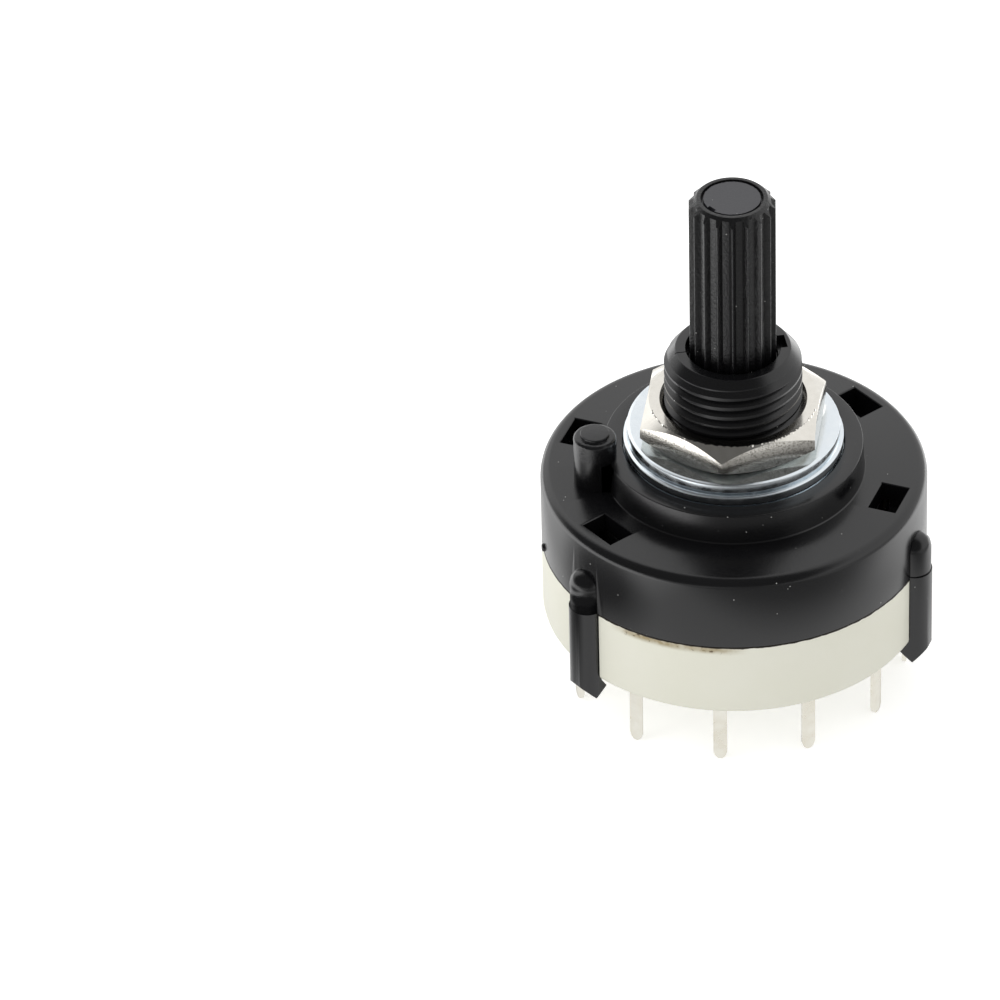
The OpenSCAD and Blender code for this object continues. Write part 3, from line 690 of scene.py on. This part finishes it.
# %% housing: threaded bush
CHAMFER_W = 0.79
CHAMFER_H = 0.97
MOUTH_R = 3.26
bush = threaded_rod("bush", BUSH_R, Z_RECESS - 0.3, BUSH_TOP + 0.3)
envelope = turned("envelope", [(0, Z_RECESS - 0.2), (BUSH_R + 0.6, Z_RECESS - 0.2),
                               (BUSH_R + 0.6, BUSH_TOP - CHAMFER_H - 0.6 * CHAMFER_H / CHAMFER_W),
                               (BUSH_R - CHAMFER_W, BUSH_TOP), (0, BUSH_TOP)],
                  softened=((3, 0.12),))
combine(bush, envelope, "INTERSECT")
combine(housing, bush, "UNION")
bore = turned("bore", [(0, Z_ROOF - 1), (BORE_R, Z_ROOF - 1), (BORE_R, BUSH_TOP - 0.7),
                       (MOUTH_R, BUSH_TOP), (MOUTH_R + 0.4, BUSH_TOP + 0.4), (0, BUSH_TOP + 0.4)])
combine(housing, bore, "DIFFERENCE")
mouth_slot = block("mouth_slot", (0, -0.72, BUSH_TOP - 0.6), (3.66, 0.72, BUSH_TOP + 0.5))
combine(housing, mouth_slot, "DIFFERENCE")
parting = block("parting", (-4.1, -0.04, BUSH_TOP - 0.12), (-3.2, 0.04, BUSH_TOP + 0.5))
combine(housing, parting, "DIFFERENCE")
print("bush added:", len(housing.data.polygons), "faces")

# %% [markdown]
# The peg stands on the edge of the collar and is blended into it by two hollow fillets. It is
# spun round its own axis. The fillets are a flat web whose sides are arcs that touch both the
# peg and the collar.

# %% housing: peg
PEG_R = 1.48
PEG_X = 9.62
PEG_TOP = 1.66
PEG_FILLET = 0.7
PAD_R = 1.0
PAD_TOP = PEG_TOP + 0.25
peg = turned("peg", [(0, Z_FACE - 0.2), (PEG_R, Z_FACE - 0.2), (PEG_R, PEG_TOP), (PAD_R, PEG_TOP),
                     (PAD_R, PAD_TOP), (0, PAD_TOP)],
             softened=((2, 0.25), (3, 0.04), (4, 0.06)), centre=(-PEG_X, 0, 0), steps=64)
reach = COLLAR_TOP_R + PEG_FILLET
along = (PEG_X ** 2 + reach ** 2 - (PEG_R + PEG_FILLET) ** 2) / (2 * PEG_X)
away = math.sqrt(reach ** 2 - along ** 2)
to_peg = math.atan2(-away, along - PEG_X)
to_axis = math.atan2(-away, along)
arc = [to_peg + (to_axis - to_peg) * i / 10 for i in range(11)]
upper = [(-along + PEG_FILLET * math.cos(a), away + PEG_FILLET * math.sin(a), Z_FACE - 0.2) for a in arc]
lower = [(x, -y, z) for x, y, z in reversed(upper)]
web = draw("web", [(-PEG_X, 0, Z_FACE - 0.2)] + upper + [(-along + 1.5, 0, Z_FACE - 0.2)] + lower)
bpy.ops.mesh.select_all(action="SELECT")
bpy.ops.mesh.edge_face_add()
bpy.ops.mesh.extrude_region_move(TRANSFORM_OT_translate={"value": (0, 0, (-0.02 - Z_FACE + 0.2) * MM)})
close_up(web)
combine(housing, peg, "UNION")
combine(housing, web, "UNION")
print("peg added:", len(housing.data.polygons), "faces")

# %% [markdown]
# Each clip is a rib on the skirt with a bullet top, and below the seam a springy arm with a
# barbed hook. Rib and arm come from two halves of the mould, so a fine step runs between
# them. One clip is modelled and copied.

# %% housing: clips
CLIP_R = 14.35
CLIP_W = 2.5
RIB_W = 2.4
RIB_TOP = Z_FACE - 2.6
ARM_IN = 13.0
HOOK_TIP = Z_BOTTOM - 1.5
RIB_IN = (CAVITY_R + BODY_R) / 2
RIB_R = CLIP_R - 0.05
RIB_LOW = Z_SEAM + 0.05
ARM_TOP = Z_SEAM + 0.1
CLIP_EDGE = 1.15
CROWN_R = 1.0


def slab(name, outline, softened, push):
    """Draw an outline, round some of its corners and extrude it into a block."""
    piece = draw(name, outline)
    for index, radius in softened:
        soften(piece, outline[index], radius, segments=10)
    bpy.ops.mesh.select_all(action="SELECT")
    bpy.ops.mesh.edge_face_add()
    bpy.ops.mesh.extrude_region_move(TRANSFORM_OT_translate={"value": Vector(push) * MM})
    close_up(piece)
    return piece


rib = turned("rib", [(0, RIB_LOW), (RIB_W / 2, RIB_LOW), (RIB_W / 2, RIB_TOP), (0, RIB_TOP)],
             softened=((2, CROWN_R),), centre=(RIB_R - RIB_W / 2, 0, 0), steps=64)
outside = block("outside", (RIB_IN, -RIB_W, RIB_LOW - 1), (CLIP_R + 1, RIB_W, RIB_TOP + 1))
combine(rib, outside, "INTERSECT")
for piece in copies(rib, CLIP_ANGLES):
    combine(housing, piece, "UNION")
half_w = CLIP_W / 2
side = [(ARM_IN, ARM_TOP), (CLIP_R, ARM_TOP), (CLIP_R, Z_BOTTOM - 0.5), (CLIP_R - 0.9, HOOK_TIP),
        (ARM_IN - 0.45, Z_BOTTOM - 0.75), (ARM_IN, Z_BOTTOM - 0.05)]
arm = slab("arm", [(x, -half_w, z) for x, z in side], ((2, 0.4), (5, 0.3)), (0, CLIP_W, 0))
plan = [(RIB_IN - 1, -half_w), (CLIP_R, -half_w), (CLIP_R, half_w), (RIB_IN - 1, half_w)]
column = slab("column", [(x, y, HOOK_TIP - 0.5) for x, y in plan], ((1, CLIP_EDGE), (2, CLIP_EDGE)),
              (0, 0, Z_FACE - HOOK_TIP))
combine(arm, column, "INTERSECT")
for piece in copies(arm, CLIP_ANGLES):
    combine(housing, piece, "UNION")
for degrees in CLIP_ANGLES:
    out = Vector((math.cos(math.radians(degrees)), math.sin(math.radians(degrees)), 0))
    for low, high in ((HOOK_TIP - 1, Z_SEAM - 1), (Z_SEAM + 0.5, Z_FACE)):
        far = max(v.co.dot(out) / MM for v in housing.data.vertices if low < v.co.z / MM < high)
        print("clip at %d degrees, %.1f to %.1f mm: reaches %.2f mm" % (degrees, low, high, far))
gate = turned("gate", [(0, -0.4), (0.3, -0.4), (0.3, 0.16), (0, 0.16)], softened=((2, 0.14),), steps=32)
activate(gate)
gate.rotation_euler.y = math.radians(-90)
gate.location = (-BODY_R * MM, 0, (Z_SEAM + 0.35) * MM)
bpy.ops.object.transform_apply(location=True, rotation=True)
combine(housing, gate, "UNION")
dress(housing, housing_finish, "body", "housing_plastic", "housing")

# %% [markdown]
# ## Terminal base
# The base is a thick cream cup. Its outside is flush with the housing, with three shallow
# grooves for the arms of the clips, and its floor is pierced by the slots of the pins.

# %% terminal base
Z_CONTACT_FLOOR = Z_FLOOR
base = turned("terminal_base_moulding",
              [(0, Z_BOTTOM), (BODY_R, Z_BOTTOM), (BODY_R, Z_SEAM), (CAVITY_R, Z_SEAM),
               (CAVITY_R, Z_CONTACT_FLOOR), (0, Z_CONTACT_FLOOR)],
              softened=((1, 0.5), (2, 0.06)))
channel = block("groove", (BODY_R - 0.35, -1.34, Z_BOTTOM - 1), (BODY_R + 1, 1.34, Z_SEAM + 1))
combine(base, joined(copies(channel, CLIP_ANGLES)), "DIFFERENCE")
PIN_R = 11.84
slot_cut = block("slot", (PIN_R - 0.18, -0.505, Z_BOTTOM - 1), (PIN_R + 0.18, 0.505, Z_CONTACT_FLOOR + 1))
combine(base, joined(copies(slot_cut, positions)), "DIFFERENCE")
common_slot = block("common_slot", (4.12, -0.505, Z_BOTTOM - 1), (4.48, 0.505, Z_CONTACT_FLOOR + 1))
combine(base, turn_to(common_slot, FIRST_ANGLE), "DIFFERENCE")
pivot_hole = rod("pivot_hole", 1.95, -12.27, Z_CONTACT_FLOOR + 1)
combine(base, pivot_hole, "DIFFERENCE")
dress(base, base_finish, "body", "base_plastic", "terminal_base")

# %% [markdown]
# ## Solder terminals
# Each terminal is one strip: a contact pad on the floor of the base, bent down into a pin with
# a tapered tip. One is modelled with softened edges and copied to its twelve places.

# %% terminals
PIN_W = 0.95
STRIP = 0.3
PIN_TIP = pin_low.z
tip = [(PIN_W / 2, PIN_TIP + 0.55), (0.345, PIN_TIP + 0.18), (0.15, PIN_TIP)]
outline = ([(PIN_R - STRIP / 2, y, z) for y, z in [(PIN_W / 2, Z_FLOOR + 0.1)] + tip]
           + [(PIN_R - STRIP / 2, -y, z) for y, z in reversed([(PIN_W / 2, Z_FLOOR + 0.1)] + tip)])
pin = draw("terminal", outline)
bpy.ops.mesh.select_all(action="SELECT")
bpy.ops.mesh.edge_face_add()
bpy.ops.mesh.extrude_region_move(TRANSFORM_OT_translate={"value": (STRIP * MM, 0, 0)})
close_up(pin)
pad = block("pad", (PIN_R + STRIP / 2 - 3, -1, Z_FLOOR), (PIN_R + STRIP / 2, 1, Z_FLOOR + STRIP))
pin = combine(pin, pad, "UNION")
activate(pin)
edge = pin.modifiers.new("soft edges", "BEVEL")
edge.width = 0.04 * MM
edge.segments = 2
edge.limit_method = "ANGLE"
bpy.ops.object.modifier_apply(modifier=edge.name)
terminals = copies(pin, [FIRST_ANGLE - STEP * i for i in range(12)])
for number, terminal in enumerate(terminals, 1):
    terminal.name = terminal.data.name = "solder_terminal_%02d" % number
    dress(terminal, tin, "body", "pin_metal", "terminal_%02d" % number)

# %% [markdown]
# ## Washers and nut
# The washers are stamped, so one edge is rounded by the die and the other is crisp. The nut
# is hexagon bar with both ends chamfered on the lathe, which leaves curved edges on the
# flats, and the tool left a ragged burr round the face. The flats are worn to a slight barrel.

# %% washers
RING_IN = 4.85
for name, low, high in (("washer_lower", lower_low, lower_high), ("washer_upper", upper_low, upper_high)):
    edge = high.x
    ring = turned(name + "_ring", [(RING_IN, low.z), (edge - 0.2, low.z), (edge, low.z + 0.2),
                                   (edge, high.z - 0.06), (edge - 0.22, high.z), (RING_IN, high.z)],
                  softened=((1, 0.05), (2, 0.1), (3, 0.04), (4, 0.1), (5, 0.06)))
    dress(ring, zinc, "body", "washer_zinc", name)

# %% nut
NUT_AF = 12
NUT_TURN = 13
NUT_EDGE = 0.22
SINK_R = 5.05
NUT_MID = (nut_low.z + nut_high.z) / 2
BARREL_LEAN = math.radians(16)
BARREL_CUTS = 5
corner = NUT_AF / 2 / math.cos(math.radians(30))
bpy.ops.object.select_all(action="DESELECT")
bpy.ops.mesh.primitive_cylinder_add(vertices=6, radius=corner * MM, depth=(nut_high.z - nut_low.z) * MM,
                                    location=(0, 0, (nut_high.z + nut_low.z) / 2 * MM),
                                    rotation=(0, 0, math.radians(NUT_TURN - 30)))
nut = bpy.context.object
nut.name = nut.data.name = "hex_nut"
bpy.ops.object.transform_apply(location=True, rotation=True)
bpy.ops.object.mode_set(mode="EDIT")
bpy.ops.mesh.select_all(action="SELECT")
half_high = nut_high.z - NUT_MID
levels = [NUT_MID + half_high * i / BARREL_CUTS for i in range(1, BARREL_CUTS + 1)]
for z in [NUT_MID] + levels[:-1]:
    bpy.ops.mesh.select_all(action="SELECT")
    bpy.ops.mesh.bisect(plane_co=(0, 0, z * MM), plane_no=(0, 0, 1))
for z in levels:
    pick(nut, lambda p: abs(p.z - z) < 0.01)
    inwards = math.tan(BARREL_LEAN) * (z - NUT_MID) ** 2 / half_high / 2
    taper = 1 - inwards / (NUT_AF / 2)
    bpy.ops.transform.resize(value=(taper, taper, 1), center_override=(0, 0, z * MM))
bpy.ops.object.mode_set(mode="OBJECT")
face_r = NUT_AF / 2 - NUT_EDGE
drop = (corner + 0.2 - face_r) * math.tan(math.radians(30))
lathe = turned("lathe", [(0, nut_low.z), (face_r, nut_low.z), (corner + 0.2, nut_low.z + drop),
                         (corner + 0.2, nut_high.z - drop), (face_r, nut_high.z), (0, nut_high.z)])
combine(nut, lathe, "INTERSECT")
worn = nut.modifiers.new("worn edges", "BEVEL")
worn.width = 0.07 * MM
worn.segments = 2
worn.limit_method = "ANGLE"
worn.angle_limit = math.radians(20)
activate(nut)
bpy.ops.object.modifier_apply(modifier=worn.name)
combine(nut, threaded_rod("tap", BUSH_R + 0.05, nut_low.z - 0.5, nut_high.z + 0.5), "DIFFERENCE")
sink_in = BUSH_R - THREAD_DEPTH
deep = SINK_R - sink_in
for z, way in ((nut_high.z, 1), (nut_low.z, -1)):
    sink = turned("sink", [(0, z - way * deep), (sink_in, z - way * deep), (SINK_R, z),
                           (SINK_R + 0.2, z + way * 0.2), (0, z + way * 0.2)])
    combine(nut, sink, "DIFFERENCE")
BURR = 0.07
BURR_FROM = -175
burr = turned("burr", [(face_r - 0.16, nut_high.z - 0.1), (face_r + 0.12, nut_high.z - 0.16),
                       (face_r - 0.02, nut_high.z + 0.05)], angle=150, steps=110)
turn_to(burr, BURR_FROM)
activate(burr)
bpy.ops.object.mode_set(mode="EDIT")
torn = pick(burr, lambda p: p.z > nut_high.z)
bpy.ops.transform.vertex_random(offset=BURR * MM, uniform=0.0, normal=0.0, seed=4)
bpy.ops.object.mode_set(mode="OBJECT")
combine(nut, burr, "UNION")
print("burr: %d points" % torn)
dress(nut, nickel, "body", "nut_nickel", "nut", angle=math.radians(12))
print("nut corners at", [round(c, 2) for c in (nut_low.x, nut_low.y)])

# %% [markdown]
# ## Shaft
# The shaft carries a spline of eighteen fine ridges for a push-on knob. Its section starts as
# a circle, and the points on each ridge are drawn out. Below the bush it is a plain journal
# with the rotor that carries the detent balls and the wiper.

# %% shaft: spline
RIDGES = 18
POINTS = 20
ROOT_R = 2.6
RIDGE_TURN = 80
RIDGE = {0: 2.98, 1: 2.96, 2: 2.87, 3: 2.77, 4: 2.67}
Z_SPLINE = BUSH_TOP - 0.9
bpy.ops.object.select_all(action="DESELECT")
bpy.ops.mesh.primitive_circle_add(vertices=RIDGES * POINTS, radius=ROOT_R * MM, location=(0, 0, Z_SPLINE * MM),
                                  rotation=(0, 0, math.radians(RIDGE_TURN)))
shaft = bpy.context.object
shaft.name = shaft.data.name = "splined_shaft"
bpy.ops.object.transform_apply(location=True, rotation=True)
bpy.ops.object.mode_set(mode="EDIT")
pitch_deg = 360 / RIDGES
point_deg = pitch_deg / POINTS


def steps_from_ridge(p):
    """How many points of the section lie between a point and the nearest ridge."""
    turn = (math.degrees(math.atan2(p.y, p.x)) - RIDGE_TURN) % pitch_deg
    return round(min(turn, pitch_deg - turn) / point_deg)


for steps_off, radius in RIDGE.items():
    pick(shaft, lambda p: steps_from_ridge(p) == steps_off)
    bpy.ops.transform.resize(value=(radius / ROOT_R, radius / ROOT_R, 1), center_override=(0, 0, Z_SPLINE * MM))
bpy.ops.mesh.select_all(action="SELECT")
bpy.ops.mesh.edge_face_add()
bpy.ops.mesh.extrude_region_move(TRANSFORM_OT_translate={"value": (0, 0, (SHAFT_TOP - Z_SPLINE) * MM)})
close_up(shaft)
CHAMFER = 0.6
END_R = 2.12
DISC_R = END_R - 0.18
DISC_TOP = SHAFT_TOP - 0.05
GROOVE_LOW = SHAFT_TOP - 0.4
envelope = turned("end_shape", [(0, Z_SPLINE - 0.5), (4, Z_SPLINE - 0.5), (4, SHAFT_TOP - 1 - CHAMFER),
                                (3 - CHAMFER, SHAFT_TOP), (END_R, SHAFT_TOP), (END_R, GROOVE_LOW),
                                (DISC_R, GROOVE_LOW), (DISC_R, DISC_TOP), (0, DISC_TOP)],
                  softened=((3, 0.05), (4, 0.03), (7, 0.03)))
combine(shaft, envelope, "INTERSECT")
TEAR_ANGLE = -148
tear = block("tear", (DISC_R - 0.22, -0.32, GROOVE_LOW), (END_R - 0.05, 0.32, SHAFT_TOP + 0.2))
combine(shaft, turn_to(tear, TEAR_ANGLE), "DIFFERENCE")
activate(shaft)
bpy.ops.object.mode_set(mode="EDIT")
ragged = pick(shaft, lambda p: abs(p.xy.length - DISC_R) < 0.05 and p.z > SHAFT_TOP - 0.2)
bpy.ops.transform.vertex_random(offset=0.03 * MM, uniform=0.0, normal=0.0, seed=2)
bpy.ops.transform.resize(value=(1, 1, 0), center_override=(0, 0, DISC_TOP * MM))
bpy.ops.object.mode_set(mode="OBJECT")
print("spline: %d faces, ragged disc: %d points" % (len(shaft.data.polygons), ragged))

# %% shaft: journal, rotor and studs
ROTOR_R = 10.3
Z_ROTOR = (-8.12, -3.62)
Z_BALL = -5.62
Z_PIVOT = -12.17
PIVOT_R = 1.9
WIPER_MID = 7.0
core = turned("core", [(0, Z_PIVOT), (PIVOT_R, Z_PIVOT), (PIVOT_R, Z_ROTOR[0]), (ROTOR_R, Z_ROTOR[0]),
                       (ROTOR_R, Z_ROTOR[1]), (3, Z_ROTOR[1]), (3, Z_SPLINE + 0.05), (0, Z_SPLINE + 0.05)],
              softened=((1, 0.2), (3, 0.1), (4, 0.1)))
combine(shaft, core, "UNION")
LUG_HALF = 8.36
lug = turned("lug", [(5.955, Z_ROTOR[1] - 0.2), (7.205, Z_ROTOR[1] - 0.2), (7.205, Z_GROOVE - 0.1),
                     (5.955, Z_GROOVE - 0.1)], angle=2 * LUG_HALF, steps=12)
combine(shaft, turn_to(lug, FIRST_ANGLE - LUG_HALF), "UNION")
for aside_mm in (-0.6, 0.6):
    for radius, low, high in ((0.3, -8.6, -8.0), (0.48, -8.64, -8.42)):
        stud = rod("stud", radius, low, high, centre=(WIPER_MID, aside_mm), vertices=24)
        combine(shaft, turn_to(stud, FIRST_ANGLE), "UNION")
cross = rod("cross_bore", 1.3, -12, 12)
activate(cross)
cross.rotation_euler = (0, math.radians(90), math.radians(FIRST_ANGLE - 90))
cross.location.z = Z_BALL * MM
bpy.ops.object.transform_apply(location=True, rotation=True)
combine(shaft, cross, "DIFFERENCE")
dress(shaft, shaft_finish, "rotor", "shaft_plastic", "shaft")

# %% [markdown]
# ## Hidden pieces
# The stop ring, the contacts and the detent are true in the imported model, so they stay as they
# are and only get their finish.

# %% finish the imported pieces
INNER = {"stop_ring": zinc, "common_contact": tin, "wiper": brass, "detent_spring": wire_steel,
         "detent_ball_1": ball_steel, "detent_ball_2": ball_steel}
for name, finish in INNER.items():
    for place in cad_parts[name].material_slots:
        place.material = finish
print("packed pieces kept:", ", ".join(INNER))

# %% [markdown]
# ## Size of the dressed model
# The dressed model has to stay inside the box of the imported one, so both boxes are printed.

# %% print both boxes
visual_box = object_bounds()
for label, (low, high) in (("packed", cad_box), ("dressed", visual_box)):
    print(label, [round(v / MM, 2) for v in low], [round(v / MM, 2) for v in high])
